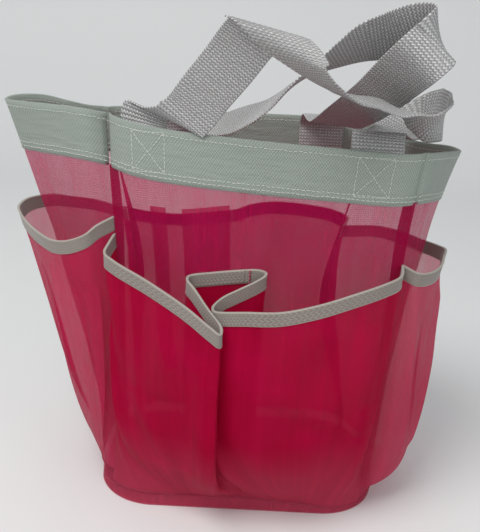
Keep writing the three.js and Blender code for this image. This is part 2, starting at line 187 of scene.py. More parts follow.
# Strap paths: centre of the webbing, the direction from its first edge to its second and, at a fold, how
# far it slants and the most it may lengthen.
HANDLE = {
    "front": [
        (-86, -37, 310, 0.95, -0.3, -0.1, 1, 1), (-84, -38, 320, 0.9, -0.3, -0.3, 1, 1),
        (-71, -47, 318, 0.9, -0.3, -0.3, 1, 1), (-58, -56, 317, 0.85, -0.08, -0.52, 1, 1),
        (-51, -59, 323, 0.8, -0.02, -0.6), (-40, -66, 338.5, 0.8, 0, -0.6),
        (-24, -78, 360, 0.8, 0, -0.6), (-9, -93, 381, 0.9, 0, -0.36, 0.6),
        (-1, -99, 387, 0.97, 0, -0.22, 1), (6, -106, 384, 0.97, -0.1, -0.22, 1),
        (19, -109, 371, 0.85, -0.4, -0.2, 0.8), (37, -102, 356, 0.3, -0.9, 0.1),
        (55, -90, 345, 0.1, -1, 0.05), (71, -76, 340, 0, -1, 0), (89, -66, 336, 0, -1, -0.1),
        (105, -60, 332, -0.1, -1, 0.2), (118, -55, 327, -0.1, -0.85, 0.5), (128, -49, 325, 0, -0.7, 0.7),
        (135, -37, 326, 0.05, -0.4, 0.88), (138, -21, 326, -0.05, 0.35, 0.9), (134, -5, 324, 0, 0.65, 0.7),
        (127, 5, 319, -0.15, 0.75, 0.6), (116, 3, 312, -0.35, 0.8, 0.4), (104, -12, 308, -0.7, 0.65, 0.1),
        (93, -33, 311, -0.92, 0.3, 0), (87, -51, 314, -1, 0.05, 0),
    ],
    "back": [
        (-64, 58, 311, 0.95, 0.2, 0), (-54, 46, 306, 0.6, 0.7, 0), (-37, 32, 302, 0.15, 1, 0.3),
        (-19, 17, 307, 0.1, 1, 0.35), (-3, 1, 316, 0.15, 1, 0.25), (11, -11, 328, 0.1, 1, 0.1),
        (23, -20, 341, 0.1, 1, -0.05), (37, -27, 353, 0.1, 0.95, -0.25), (56, -30, 366, 0.15, 0.8, -0.5),
        (73, -31, 376, 0.25, 0.6, -0.7), (93, -33, 382.5, 0.3, 0.4, -0.85), (110, -42, 388, 0.3, 0.25, -0.9),
        (119, -56, 387, 0.3, 0, -0.95), (117, -67, 381, 0.5, -0.1, -0.85),
        (107, -67, 370, 0.7, -0.15, -0.7), (98, -53, 357, 0.82, -0.1, -0.55), (87, -27, 338, 0.9, 0, -0.4),
        (72, 4, 318, 0.95, 0, -0.25), (62, 32, 306, 1, 0, -0.1), (57, 54, 309, 1, 0, 0),
    ],
}
# Where each handle is sewn: hem side, position along it, which way its width runs, and how far inside
# it lies.
SEWN = {
    "front_left": ("front", 0.165, 1, 5.5), "front_right": ("front", 0.845, -1, 2.6),
    "back_right": ("back", 0.19, -1, 2.6), "back_left": ("back", 0.72, -1, 2.6),
}


# ---------------------------------------------------------------- curves and surfaces

def spread(count, low, high):
    return np.linspace(low, high, count)


class Curve:
    """Centripetal Catmull-Rom curve through points, the same curve as the CAD part's."""

    SAMPLES = 1200

    def __init__(self, points):
        p = np.array(points, float)
        self.p = np.vstack([2 * p[0] - p[1], p, 2 * p[-1] - p[-2]])
        self.n = len(p) - 1
        self.t = np.linspace(0, 1, self.SAMPLES)
        steps = np.linalg.norm(np.diff(self.at(self.t)[:, :3], axis=0), axis=1)
        self.run = np.concatenate([[0], np.cumsum(steps)])
        self.length = self.run[-1]

    def at(self, t):
        """Points at control-point positions t, from 0 to 1."""
        x = np.clip(np.asarray(t, float), 0, 1) * self.n
        i = np.minimum(x.astype(int), self.n - 1)
        w = (x - i)[..., None]
        p0, p1, p2, p3 = (self.p[i + k] for k in range(4))
        d0, d1, d2 = (
            np.maximum(np.linalg.norm((b - a)[..., :3], axis=-1, keepdims=True), 1e-8) ** 0.5
            for a, b in ((p0, p1), (p1, p2), (p2, p3))
        )
        m1 = ((p1 - p0) / d0 - (p2 - p0) / (d0 + d1) + (p2 - p1) / d1) * d1
        m2 = ((p2 - p1) / d1 - (p3 - p1) / (d1 + d2) + (p3 - p2) / d2) * d1
        return (
            p1 + m1 * w + (3 * (p2 - p1) - 2 * m1 - m2) * w**2 + (2 * (p1 - p2) + m1 + m2) * w**3
        )

    def even(self, s):
        """Points at shares s of the length."""
        return self.at(np.interp(np.clip(s, 0, 1) * self.length, self.run, self.t))


TOPS = {side: Curve(TOP[side]) for side in SIDES}


def base_point(side, s, inset=1.0):
    """Points of the base outline along a side; s is 0 and 1 at the middle of its corners."""
    i = SIDES.index(side)
    along = (BASE_DEPTH if i % 2 else BASE_WIDTH) / 2 - inset
    away = (BASE_WIDTH if i % 2 else BASE_DEPTH) / 2 - inset
    radius = BASE_RADIUS - inset
    arc = radius * math.pi / 4
    straight = 2 * (along - radius)
    d = np.asarray(s, float) * (straight + 2 * arc) - arc - straight / 2
    over = np.maximum(np.abs(d) - straight / 2, 0) / radius
    u = np.sign(d) * (np.minimum(np.abs(d), straight / 2) + radius * np.sin(over))
    v = away - radius * (1 - np.cos(over))
    turn = i * math.pi / 2
    x = BASE_MIDDLE + u * math.cos(turn) + v * math.sin(turn)
    y = u * math.sin(turn) - v * math.cos(turn)
    return np.stack([x, y, np.zeros_like(x)], -1)


def folds(rules, a, z, width):
    """Sum of soft ridges; each rule is (a0, z0, a1, z1, half width, height) in shares of the side and mm."""
    total = np.zeros(np.broadcast(a, z).shape)
    for a0, z0, a1, z1, reach, height in rules:
        px, pz = (a - a0) * width, z - z0
        dx, dz = (a1 - a0) * width, z1 - z0
        t = np.clip((px * dx + pz * dz) / (dx * dx + dz * dz), 0, 1)
        off = np.hypot(px - t * dx, pz - t * dz)
        total = total + height * np.exp(-((off / reach) ** 2)) * np.sin(np.pi * (0.08 + 0.84 * t)) ** 0.6
    return total


def ripple(a, z, seed, length):
    """Gentle uneven undulation, from -1 to 1, with features about length mm across."""
    rng = np.random.default_rng(seed)
    total = 0
    for _ in range(6):
        angle, phase, scale = rng.uniform(0, math.pi), rng.uniform(0, 2 * math.pi), rng.uniform(0.6, 1.6)
        k = 2 * math.pi / (length * scale)
        total = total + np.sin(k * (a * math.cos(angle) + z * math.sin(angle)) + phase)
    return total / 6


WALL_FOLDS = {
    "front": [(0.3, 262, 0.36, 150, 7, 2.4), (0.62, 262, 0.56, 170, 9, -2.7), (0.8, 262, 0.78, 120, 8, 3),
              (0.9, 260, 0.86, 140, 6, -2.7), (0.12, 262, 0.14, 150, 6, 2.4)],
    "right": [(0.35, 255, 0.4, 90, 9, 3.3), (0.65, 255, 0.6, 120, 10, -3.6)],
    "back": [(0.2, 262, 0.25, 120, 10, 3), (0.5, 262, 0.52, 100, 12, -3.3), (0.8, 262, 0.75, 130, 9, 3)],
    "left": [(0.25, 262, 0.3, 110, 9, 3), (0.6, 270, 0.62, 100, 9, -3.3), (0.85, 270, 0.8, 120, 8, 2.7)],
}
WALL_WIDTH = {"front": 240, "right": 150, "back": 235, "left": 180}


def wall(side, s, z):
    """Points of a wall's middle surface at shares s of the side and heights z."""
    s, z = np.broadcast_arrays(np.asarray(s, float), np.asarray(z, float))
    top = TOPS[side].even(s)
    low = base_point(side, s)
    rise = np.clip(z / top[..., 2], 0, 1)[..., None]
    curve = CORNER_CURVE + (WALL_CURVE[side] - CORNER_CURVE) * np.sin(math.pi * s)
    p = low + (top - low) * rise ** curve[..., None]
    first, last = (np.array(SLUMP[c]) for c in SIDE_CORNERS[side])
    ends = [np.clip(1 - 2 * d, 0, 1)[..., None] ** 2 for d in (s, 1 - s)]
    p[..., :2] += (first * ends[0] + last * ends[1]) * np.sin(math.pi * rise) ** 2
    p[..., 2] = z
    return p


def outward(surface, s, z, step=0.006):
    """Horizontal direction pointing out of the bag at points of a surface."""
    a = surface(np.clip(s - step, 0, 1), z)
    b = surface(np.clip(s + step, 0, 1), z)
    n = np.stack([b[..., 1] - a[..., 1], a[..., 0] - b[..., 0], np.zeros(a.shape[:-1])], -1)
    return n / np.maximum(np.linalg.norm(n, axis=-1, keepdims=True), 1e-9)


def wall_surface(side):
    """A wall as a surface of s and z alone."""
    return lambda s, z: wall(side, s, z)


def wall_outward(side, s, z):
    return outward(wall_surface(side), s, z)


def draped_wall(side, s, z):
    """The wall with the soft folds of hanging mesh, which fade out at the corners, hem and base."""
    s, z = np.broadcast_arrays(np.asarray(s, float), np.asarray(z, float))
    p = wall(side, s, z)
    width = WALL_WIDTH[side]
    shift = folds(WALL_FOLDS[side], s, z, width)
    shift = shift + WALL_RIPPLE * ripple(s * width, z, 11 + SIDES.index(side), 70)
    foot = TOPS[side].even(s)[..., 2] - HEM_HEIGHT
    fade = np.clip(z / WALL_FADE, 0, 1) * np.clip((foot + 6 - z) / WALL_FADE, 0, 1)
    fade = fade * np.clip(np.minimum(s, 1 - s) * 14, 0, 1)
    return p + wall_outward(side, s, z) * (shift * fade)[..., None]


def foot_line(name, t):
    """Height of a pocket's lower seam at shares t of its span."""
    start, end = FOOT_LINE[name]
    side = POCKET_SPAN[name][0]
    wavy = FOOT_RIPPLE * ripple(t * WALL_WIDTH[side], 0 * t, 90 + len(name), 60)
    return start + (end - start) * t**3 + wavy * np.sin(math.pi * t)


class Pocket:
    """A pocket's surface: it hangs from its mouth and closes onto the wall at the seam line."""

    FOLDS = {
        "front_left": [
            (0.10, 195, 0.30, 60, 6, -4.5), (0.32, 188, 0.32, 118, 2.8, 3.2), (0.42, 150, 0.43, 40, 6, 4.5),
            (0.26, 112, 0.31, 62, 3.2, 4), (0.02, 150, 0.2, 30, 5, -3.5), (0.37, 140, 0.36, 60, 4, -3),
        ],
        "front_right": [
            (0.62, 170, 0.70, 60, 7, 4.5), (0.80, 190, 0.74, 95, 5, -4), (0.86, 178, 0.86, 95, 4, 4.5),
            (0.70, 134, 0.78, 104, 3.2, 4), (0.87, 110, 0.92, 22, 3.6, 4.5),
            (0.5, 120, 0.66, 30, 6, -3.5), (0.81, 110, 0.83, 30, 5, -3),
        ],
        "right": [
            (0.25, 190, 0.35, 60, 6, -5), (0.13, 185, 0.2, 50, 4, 4), (0.5, 195, 0.42, 50, 7, 5.4),
            (0.7, 190, 0.75, 60, 8, -5),
        ],
        "back_right": [(0.3, 190, 0.35, 50, 9, 5.4), (0.7, 190, 0.6, 60, 8, -5.4)],
        "back_left": [(0.3, 190, 0.4, 50, 9, -5.4), (0.65, 190, 0.6, 50, 8, 5.4)],
        "left": [
            (0.3, 200, 0.35, 60, 8, 5.4), (0.55, 205, 0.5, 50, 8, -5.4), (0.68, 196, 0.70, 110, 4, 4),
            (0.78, 188, 0.82, 60, 5, -5), (0.9, 180, 0.88, 50, 4, 4),
        ],
    }

    def __init__(self, name):
        self.name = name
        self.side, self.s0, self.s1 = POCKET_SPAN[name]
        points = [np.array(p, float) for p in MOUTH[name]]
        for end, s in ((0, self.s0), (-1, self.s1)):
            if s in (0, 1):
                height = points[end][2]
                points[end] = wall(self.side, s, height)
        self.mouth = Curve(points)
        self.t_even = lambda s: np.interp(np.asarray(s) * self.mouth.length, self.mouth.run, self.mouth.t)

    def plain(self, t, z):
        """The pocket's smooth surface at control-point positions t of its mouth and heights z."""
        t, z = np.broadcast_arrays(np.asarray(t, float), np.asarray(z, float))
        fill, puff, crowd_start, crowd_end = FULLNESS[self.name]
        along = self.s0 + (self.s1 - self.s0) * (1 - (1 - t**crowd_start) ** crowd_end)
        lip = self.mouth.at(t)
        stand_off = lip - wall(self.side, along, lip[..., 2])
        foot = lip[..., 2] - ELASTIC_HEIGHT
        low = np.maximum(foot_line(self.name, t), SEAM_LINE_HEIGHT)
        h = np.clip((z - low) / (foot - low), 0, 1)
        ease = (np.tanh(h / fill) / math.tanh(1 / fill)) ** POCKET_ROUNDING
        p = wall(self.side, along, z) + stand_off * ease[..., None]
        p[..., 2] = z
        n = wall_outward(self.side, along, z)
        swell = puff * np.sin(math.pi * h**PUFF_SHAPE) * np.sin(math.pi * t)
        return p + n * (1.2 * (1 - ease) + swell)[..., None]

    def point(self, t, z):
        """The pocket's surface with the folds of hanging mesh."""
        t, z = np.broadcast_arrays(np.asarray(t, float), np.asarray(z, float))
        width = WALL_WIDTH[self.side] * (self.s1 - self.s0)
        shift = folds(self.FOLDS[self.name], t, z, width)
        shift = shift + POCKET_RIPPLE * ripple(t * width, z, 31 + len(self.name), 60)
        foot = self.mouth.at(t)[..., 2] - ELASTIC_HEIGHT
        above_seam = np.clip((z - SEAM_LINE_HEIGHT) / POCKET_FADE, 0, 1)
        fade = above_seam * np.clip((foot - z) / POCKET_FADE, 0, 1)
        fade = fade * np.clip(np.minimum(t, 1 - t) * 12, 0, 1)
        n = outward(self.plain, t, z)
        return self.plain(t, z) + n * (shift * fade)[..., None]


def ribbon(path, step):
    """Centres, half widths, face directions and distances run, every step mm along a strap. A path row is a
    centre, a width direction and, at a fold, how far the strap's rulings slant to follow that direction and
    how many webbing widths long they may be there."""
    rows = [(*q, *(0, MOST_SLANT)[len(q) - 6:]) for q in path]
    places = np.linspace(0, 1, len(rows))
    centre = Curve([q[:3] for q in rows])
    across = Curve([q[3:6] for q in rows])
    count = int(centre.length / step) + 1
    run = np.linspace(0, centre.length, count)
    t = np.interp(run, centre.run, centre.t)
    slant = np.interp(t, places, [q[6] for q in rows])[:, None]
    c = centre.at(t)
    along = np.gradient(c, axis=0)
    along /= np.linalg.norm(along, axis=1, keepdims=True)
    want = across.at(t)
    want /= np.linalg.norm(want, axis=1, keepdims=True)
    width = want - along * np.sum(want * along, 1, keepdims=True)
    size = np.linalg.norm(width, axis=1, keepdims=True)
    width /= size
    face = np.cross(along, width)
    most = np.interp(t, places, [q[7] for q in rows])[:, None]
    slanted = want * np.minimum(1 / size, most)
    return c, (width + (slanted - width) * slant) * WEBBING_WIDTH / 2, face, run


def sewn(end, drops):
    """Path points where a handle is sewn inside the hem, at heights below its top edge."""
    side, s, way, inside = SEWN[end]
    rows = []
    for drop in drops:
        z = TOPS[side].even(s)[2] - drop
        p = wall(side, s, z) - wall_outward(side, s, z) * inside
        d = wall(side, s + 0.02, z) - wall(side, s - 0.02, z)
        d = d / np.linalg.norm(d) * way
        rows.append((*p, *d, 1, 1))
    return rows


def strap_path(which):
    """The whole path of a handle, from one sewn end to the other."""
    ends = ("front_left", "front_right") if which == "front" else ("back_left", "back_right")
    drops = (SEWN_LENGTH, SEWN_LENGTH * 0.55, 6)
    first, last = sewn(ends[0], drops), sewn(ends[1], drops[::-1])
    return ends, first + HANDLE[which] + last


# ---------------------------------------------------------------- mesh code

def grid(name, points, uv, wrap=False, caps=False):
    """A mesh from points (rows, columns, 3) in mm, with uv (rows, columns, 2) in mm. wrap joins each row's
    last column to its first, and then uv has one column more; caps closes both ends of a wrapped grid."""
    rows, cols = points.shape[:2]
    r, c = np.meshgrid(np.arange(rows - 1), np.arange(cols if wrap else cols - 1), indexing="ij")
    nxt = (c + 1) % cols
    near, far = r * cols, (r + 1) * cols
    faces = np.stack([near + c, near + nxt, far + nxt, far + c], -1).reshape(-1, 4)
    loops = [tuple(f) for f in faces.tolist()]
    mesh = bpy.data.meshes.new(name)
    if caps:
        loops.append(tuple(range(cols - 1, -1, -1)))
        loops.append(tuple(range((rows - 1) * cols, rows * cols)))
    mesh.from_pydata((points.reshape(-1, 3) * MM).tolist(), [], loops)
    layer = mesh.uv_layers.new(name="UVMap")
    corners = np.stack([uv[r, c], uv[r, c + 1], uv[r + 1, c + 1], uv[r + 1, c]], 2).reshape(-1, 2)
    if caps:
        corners = np.vstack([corners, np.zeros((2 * cols, 2))])
    layer.data.foreach_set("uv", corners.astype(np.float32).ravel())
    mesh.polygons.foreach_set("use_smooth", np.ones(len(mesh.polygons), bool))
    mesh.validate()
    mesh.update()
    obj = bpy.data.objects.new(name, mesh)
    bpy.context.scene.collection.objects.link(obj)
    return obj


def finish_piece(obj, material, body=None, stands_for=()):
    """Gives a piece its material and slot, parents it to the empty of the body it rides on, and hides the CAD
    nodes it stands for.
    """
    obj.data.materials.append(material)
    if body:
        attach(obj, body)
    if stands_for:
        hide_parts(*stands_for)
    return obj


def band(name, surface, top, height, half, columns, run, bulge=0.0, at=None, pinch=0.0):
    """A closed band round an edge: a flat rounded tube whose section hangs down from top(s). pinch is how far
    its two ends are drawn in, in mm."""
    ts = np.linspace(0, 1, columns) if at is None else at
    drop = np.concatenate([np.linspace(1, 0, 12), [-0.02], np.linspace(0, 1, 12), [1.01]])
    off = np.concatenate([np.ones(12), [0], -np.ones(12), [0]])
    rim = np.abs(np.concatenate([np.linspace(-1, 1, 12), [0], np.linspace(1, -1, 12), [0]]))
    off = off * (1 + bulge * rim**6)
    s, d = np.meshgrid(ts, drop, indexing="ij")
    z = top(s)[..., 2] - d * height
    n = outward(surface, s, z)
    drawn_in = pinch * np.exp(-((np.minimum(s, 1 - s) * run[-1] / PINCH_REACH) ** 2))
    p = surface(s, z) + n * (np.broadcast_to(off, s.shape) * half - drawn_in)[..., None]
    u = np.interp(ts, np.linspace(0, 1, len(run)), run)
    around = np.concatenate([[0], np.cumsum(np.abs(np.diff(drop)) * height)])
    around = np.append(around, around[-1] + 1)
    uv = np.stack(np.meshgrid(u, around, indexing="ij"), -1)
    return grid(name, p, uv, wrap=True, caps=True)


def cord(name, path, radius, sides=8, closed=False):
    """A thin rolled edge along a path of points in mm."""
    path = np.asarray(path, float)
    along = np.roll(path, -1, 0) - np.roll(path, 1, 0) if closed else np.gradient(path, axis=0)
    along /= np.linalg.norm(along, axis=1, keepdims=True)
    flat = np.stack([along[:, 1], -along[:, 0], np.zeros(len(path))], 1)
    flat /= np.linalg.norm(flat, axis=1, keepdims=True)
    rise = np.cross(flat, along)
    angle = np.linspace(0, 2 * math.pi, sides, endpoint=False)
    ring = flat[:, None] * np.cos(angle)[None, :, None] + rise[:, None] * np.sin(angle)[None, :, None]
    p = path[:, None] + ring * radius
    if closed:
        p = np.concatenate([p, p[:1]])
    run = np.concatenate([[0], np.cumsum(np.linalg.norm(np.diff(p[:, 0], axis=0), axis=1))])
    uv = np.stack(np.meshgrid(run, np.linspace(0, 2 * math.pi * radius, sides + 1), indexing="ij"), -1)
    return grid(name, p, uv, wrap=True, caps=not closed)


def along_run(distance, run, values):
    """The vector at a distance along a polyline whose points lie at the distances in run."""
    return np.array([np.interp(distance, run, values[:, j]) for j in range(3)])


def thread(name, runs, radius, stitch, gap, wobble=0.0):
    """Rows of stitches: each run is (points, normals) in mm, and each stitch is a small rounded capsule.
    wobble is how far a stitch's ends stray from the row, in mm."""
    rng = np.random.default_rng(len(name))
    ring = 6
    stations = [(0.0, 0.25), (0.12, 0.8), (0.5, 1.0), (0.88, 0.8), (1.0, 0.25)]
    verts, faces = [], []
    for points, normals in runs:
        steps = np.linalg.norm(np.diff(points, axis=0), axis=1)
        run = np.concatenate([[0], np.cumsum(steps)])
        count = max(1, int(run[-1] / (stitch + gap)))
        for k in range(count):
            a = run[-1] * k / count
            length = run[-1] / count - gap * rng.uniform(0.5, 1.5)
            stray = rng.uniform(-wobble, wobble, 2)
            centre = [along_run(a + f * length, run, points) for f, _ in stations]
            n = along_run(a, run, normals)
            along = centre[-1] - centre[0]
            along /= max(np.linalg.norm(along), 1e-9)
            side = np.cross(along, n)
            side /= max(np.linalg.norm(side), 1e-9)
            first = len(verts)
            for (f, size), c in zip(stations, centre):
                lift = n * radius * (0.9 * math.sin(math.pi * f) - 0.15) + side * (stray @ (1 - f, f))
                for j in range(ring):
                    angle = 2 * math.pi * j / ring
                    verts.append(c + lift + radius * size * (side * math.cos(angle) + n * math.sin(angle)))
            for i in range(len(stations) - 1):
                for j in range(ring):
                    q = first + i * ring
                    faces.append((q + j, q + (j + 1) % ring, q + ring + (j + 1) % ring, q + ring + j))
            faces.append(tuple(first + j for j in range(ring - 1, -1, -1)))
            faces.append(tuple(first + (len(stations) - 1) * ring + j for j in range(ring)))
    mesh = bpy.data.meshes.new(name)
    mesh.from_pydata((np.array(verts) * MM).tolist(), [], faces)
    mesh.polygons.foreach_set("use_smooth", np.ones(len(mesh.polygons), bool))
    mesh.update()
    obj = bpy.data.objects.new(name, mesh)
    bpy.context.scene.collection.objects.link(obj)
    return obj


# ---------------------------------------------------------------- materials

class Tree:
    """Short way to build a node tree: an input is named with _ for a space, or i and its number."""

    def __init__(self, name):
        self.material = bpy.data.materials.new(name)
        self.material.use_nodes = True
        self.nt = self.material.node_tree
        self.nt.nodes.clear()

    def add(self, kind, out=0, settings=None, **inputs):
        n = self.nt.nodes.new("ShaderNode" + kind)
        for key, value in (settings or {}).items():
            setattr(n, key, value)
        for key, value in inputs.items():
            numbered = key[0] == "i" and key[1:].isdigit()
            self.feed(n.inputs[int(key[1:]) if numbered else key.replace("_", " ")], value)
        return n.outputs[out]

    def feed(self, socket, value):
        """Links a socket to another one, or sets it to a constant."""
        if isinstance(value, bpy.types.NodeSocket):
            self.nt.links.new(value, socket)
        else:
            socket.default_value = value

    def maths(self, operation, a, b=0.0, c=0.0, clamp=False):
        return self.add("Math", settings={"operation": operation, "use_clamp": clamp}, i0=a, i1=b, i2=c)

    def mix(self, factor, a, b):
        n = self.nt.nodes.new("ShaderNodeMix")
        n.data_type = "RGBA"
        for socket, value in ((n.inputs[0], factor), (n.inputs[6], a), (n.inputs[7], b)):
            self.feed(socket, value)
        return n.outputs[2]

    def noise(self, vector, scale, detail=2.0):
        return self.add("TexNoise", Vector=vector, Scale=scale, Detail=detail)

    def wave(self, coordinate, period, phase=0.0):
        """A sine from 0 to 1 along a coordinate in mm."""
        turned = self.maths("MULTIPLY_ADD", coordinate, 2 * math.pi / period, phase)
        return self.maths("MULTIPLY_ADD", self.maths("SINE", turned), 0.5, 0.5)

    def uv(self):
        """The UV vector and its two parts, in mm."""
        split = self.nt.nodes.new("ShaderNodeSeparateXYZ")
        uv = self.nt.nodes.new("ShaderNodeUVMap")
        uv.uv_map = "UVMap"
        self.nt.links.new(uv.outputs[0], split.inputs[0])
        return uv.outputs[0], split.outputs[0], split.outputs[1]

    def place(self):
        """The place on the piece, in metres."""
        return self.add("TexCoord", out=3)

    def output(self, shader):
        out = self.nt.nodes.new("ShaderNodeOutputMaterial")
        self.nt.links.new(shader, out.inputs[0])
        return self.material


def rgb(r, g, b):
    return (r, g, b, 1.0)


def mesh_cloth(name, cover, dark, light, glow):
    """Sheer crimson mesh: open cells that show what is behind, fine yarns that glow when lit through, and
    painted floor light, a paler pink foot standing for light bounced up from the floor. cover is the share of
    it that isn't open."""
    t = Tree(name)
    uv, u, v = t.uv()
    height = t.add("SeparateXYZ", out=2, Vector=t.place())
    # Painted floor light: the lowest 85 mm of the cloth is mixed towards pale pink, as light bounced up from
    # the floor would make it look.
    foot = t.add("MapRange", Value=height, i1=0.0, i2=0.085, i3=0.42, i4=0.0)
    wander = t.noise(uv, 0.02, 2.0)
    yarn = t.maths("MAXIMUM", t.wave(t.maths("MULTIPLY_ADD", wander, 9.0, u), 1.35),
                   t.wave(t.maths("MULTIPLY_ADD", wander, 7.0, v), 1.55))
    cloud = t.noise(uv, 0.03, 3.0)
    stretched = t.add("Mapping", Vector=uv, Scale=(0.11, 0.006, 1))
    streak = t.noise(stretched, 1.0, 4.0)
    streak = t.add("MapRange", Value=streak, i1=0.32, i2=0.68)
    density = t.maths("MULTIPLY_ADD", yarn, 0.22, cover - 0.22)
    density = t.maths("MULTIPLY_ADD", cloud, 0.12, density)
    density = t.maths("MULTIPLY_ADD", streak, 0.07, density, clamp=True)
    tone_with_painted_floor_light = t.mix(foot, t.mix(cloud, dark, light), rgb(0.72, 0.16, 0.25))
    shine = t.mix(t.maths("MULTIPLY_ADD", streak, 0.5, 0.25), dark, glow)
    bump = t.add("Bump", Strength=0.3, Distance=0.0004, Height=yarn)
    face = t.add("BsdfPrincipled", Base_Color=tone_with_painted_floor_light, Roughness=0.5, Normal=bump,
                 Specular_IOR_Level=0.06, Sheen_Weight=0.03, Sheen_Roughness=0.4)
    through = t.add("BsdfTranslucent", Color=shine)
    fibre = t.add("MixShader", i0=0.42, i1=face, i2=through)
    hole = t.add("BsdfTransparent", Color=rgb(1.0, 0.94, 0.96))
    return t.output(t.add("MixShader", i0=density, i1=hole, i2=fibre))


def hem_cloth():
    """Coated plain-weave cloth, grey-green, with a fine slanting grain and slight puckers."""
    t = Tree("hem_cloth")
    uv, u, v = t.uv()
    place = t.place()
    slant = t.wave(t.maths("MULTIPLY_ADD", v, 0.8, u), 2.0)
    rib = t.wave(t.maths("MULTIPLY_ADD", v, -0.7, u), 2.4)
    weave = t.maths("MULTIPLY_ADD", slant, 0.6, t.maths("MULTIPLY", rib, 0.4))
    cloud = t.noise(place, 28.0, 4.0)
    crease = t.noise(t.add("Mapping", Vector=uv, Scale=(0.05, 0.25, 1)), 1.0, 4.0)
    tone = t.mix(cloud, rgb(0.285, 0.326, 0.290), rgb(0.338, 0.380, 0.337))
    tone = t.mix(t.maths("MULTIPLY", weave, 0.75), tone, rgb(0.150, 0.175, 0.155))
    height = t.maths("MULTIPLY_ADD", crease, 3.0, weave)
    bump = t.add("Bump", Strength=0.8, Distance=0.0006, Height=height)
    rough = t.maths("MULTIPLY_ADD", weave, 0.2, 0.5)
    return t.output(t.add("BsdfPrincipled", Base_Color=tone, Roughness=rough, Normal=bump,
                          Specular_IOR_Level=0.35, Sheen_Weight=0.15))


def elastic_knit():
    """Knitted elastic binding: zigzag wales between two raised, lighter edges, with red showing through."""
    t = Tree("elastic_knit")
    _, u, v = t.uv()
    zig = t.maths("PINGPONG", v, 2.1)
    wale = t.wave(t.maths("MULTIPLY_ADD", zig, 0.9, u), 2.3)
    course = t.wave(v, 2.1)
    knit = t.maths("MULTIPLY_ADD", wale, 0.7, t.maths("MULTIPLY", course, 0.3))
    rim = t.add("MapRange", Value=t.maths("PINGPONG", v, ELASTIC_HEIGHT / 2), i1=1.0, i2=0.35)
    cloud = t.noise(t.place(), 40.0, 3.0)
    tone = t.mix(cloud, rgb(0.214, 0.214, 0.186), rgb(0.276, 0.276, 0.242))
    tone = t.mix(t.maths("MULTIPLY_ADD", knit, -0.78, 0.78), tone, rgb(0.165, 0.092, 0.088))
    tone = t.mix(t.maths("MULTIPLY", rim, 0.75), tone, rgb(0.38, 0.355, 0.31))
    bump = t.add("Bump", Strength=0.7, Distance=0.0004, Height=t.maths("ADD", knit, rim))
    return t.output(t.add("BsdfPrincipled", Base_Color=tone, Roughness=0.7, Normal=bump,
                          Specular_IOR_Level=0.3, Sheen_Weight=0.25))


def webbing_weave():
    """Coarse webbing: rows of glossy, slanting raised cells with fine filaments, the cells painted near white
    as highlight and the gaps between them painted dark as shade.
    """
    t = Tree("webbing_weave")
    uv, u, v = t.uv()
    k = WEAVE_PITCH
    slanted = t.maths("MULTIPLY_ADD", t.maths("PINGPONG", u, k / 2), ZIGZAG_SLOPE, v)
    zigzag = t.wave(slanted, k, math.pi / 2)
    rope = t.maths("MULTIPLY_ADD", t.wave(u, k, math.pi / 2), 0.55, 0.45)
    cell = t.maths("MULTIPLY", rope, zigzag)
    # Painted highlight and shade: a soft noise sets how near white the raised cells are painted, and the gaps
    # between them are painted dark.
    painted_sheen = t.noise(t.add("Mapping", Vector=uv, Scale=(0.45, 0.3, 1)), 1.0, 3.0)
    painted_sheen = t.add("MapRange", Value=painted_sheen, i1=0.35, i2=0.65)
    fibre = t.noise(t.add("Mapping", Vector=uv, Scale=(5.0, 0.8, 1)), 1.0, 2.0)
    cloud = t.noise(t.place(), 22.0, 3.0)
    painted_highlight = t.mix(painted_sheen, rgb(0.58, 0.58, 0.575), rgb(1.0, 1.0, 1.0))
    tone = t.mix(cell, rgb(0.15, 0.145, 0.145), painted_highlight)
    strand = t.wave(t.maths("MULTIPLY_ADD", v, 0.5, u), k / 2)
    tone = t.mix(t.maths("MULTIPLY", strand, 0.4), tone, rgb(0.24, 0.235, 0.235))
    tone = t.mix(t.maths("MULTIPLY", fibre, 0.3), tone, rgb(0.34, 0.335, 0.335))
    tone = t.mix(t.maths("MULTIPLY", cloud, 0.25), tone, rgb(0.42, 0.415, 0.415))
    height = t.maths("MULTIPLY_ADD", fibre, 0.35, cell)
    bump = t.add("Bump", Strength=0.85, Distance=0.0007, Height=height)
    rough = t.maths("MULTIPLY_ADD", cell, -0.3, 0.58)
    return t.output(t.add("BsdfPrincipled", Base_Color=tone, Roughness=rough, Normal=bump,
                          Specular_IOR_Level=0.9, Metallic=0.12, Sheen_Weight=0.1))


def thread_fibre(name, light, dark):
    """Twisted sewing thread."""
    t = Tree(name)
    twist = t.noise(t.place(), 900.0, 2.0)
    tone = t.mix(twist, dark, light)
    bump = t.add("Bump", Strength=0.3, Distance=0.0002, Height=twist)
    return t.output(t.add("BsdfPrincipled", Base_Color=tone, Roughness=0.45, Normal=bump, Sheen_Weight=0.2))


def backdrop_paper():
    """Plain pale paper for the floor and background."""
    t = Tree("backdrop_paper")
    cloud = t.noise(t.place(), 1.3, 3.0)
    tone = t.mix(cloud, rgb(0.690, 0.697, 0.697), rgb(0.725, 0.73, 0.73))
    grain = t.noise(t.place(), 60.0, 3.0)
    bump = t.add("Bump", Strength=0.05, Distance=0.001, Height=grain)
    return t.output(t.add("BsdfPrincipled", Base_Color=tone, Roughness=0.6, Normal=bump,
                          Specular_IOR_Level=0.25))


